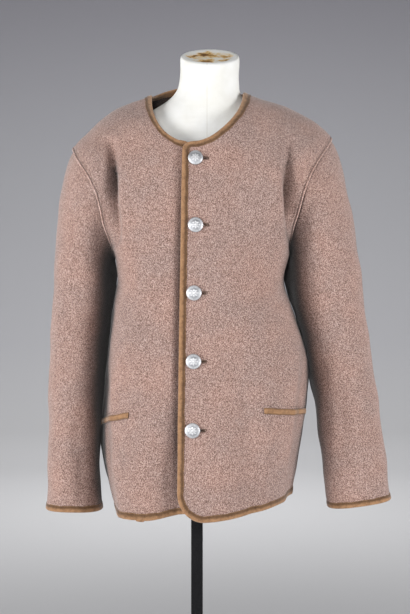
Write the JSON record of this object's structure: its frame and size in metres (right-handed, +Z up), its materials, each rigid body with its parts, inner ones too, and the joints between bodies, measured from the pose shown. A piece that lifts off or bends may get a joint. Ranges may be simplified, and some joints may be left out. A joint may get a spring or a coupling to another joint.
{
  "type": "loden jacket on a dress form",
  "caption": "Collarless wool jacket with suede-bound edges, domed metal buttons and hip pocket welts, on a limbless dress form with a pole and a round base.",
  "frame": {"origin": "middle of the base's underside, on the pole's axis", "axes": "+Z up; -Y is the jacket's front; +X is the wearer's left"},
  "size_m": [0.6435, 0.35, 1.6009],
  "materials": {
    "loden": "felted rosy-brown melange wool, matt with a soft nap",
    "suede": "tan suede, matt, stitched along its inner edge",
    "button_metal": "antique silver, domed, softly worn",
    "form_cotton": "smooth cream jersey",
    "stand_paint": "black, satin"
  },
  "bodies": {
    "root": {"front_left": "loden", "front_right": "loden", "back": "loden", "sleeve_left": "loden", "sleeve_right": "loden", "binding_front_left": "suede", "binding_front_right": "suede", "binding_back_neck": "suede", "binding_back_hem": "suede", "cuff_binding_left": "suede", "cuff_binding_right": "suede", "pocket_welt_left": "suede", "pocket_welt_right": "suede", "button_1": "button_metal", "button_2": "button_metal", "button_3": "button_metal", "button_4": "button_metal", "button_5": "button_metal", "dress_form": "form_cotton", "stand_pole": "stand_paint", "stand_base": "stand_paint", "stand_collar": "stand_paint"}
  },
  "joints": []
}
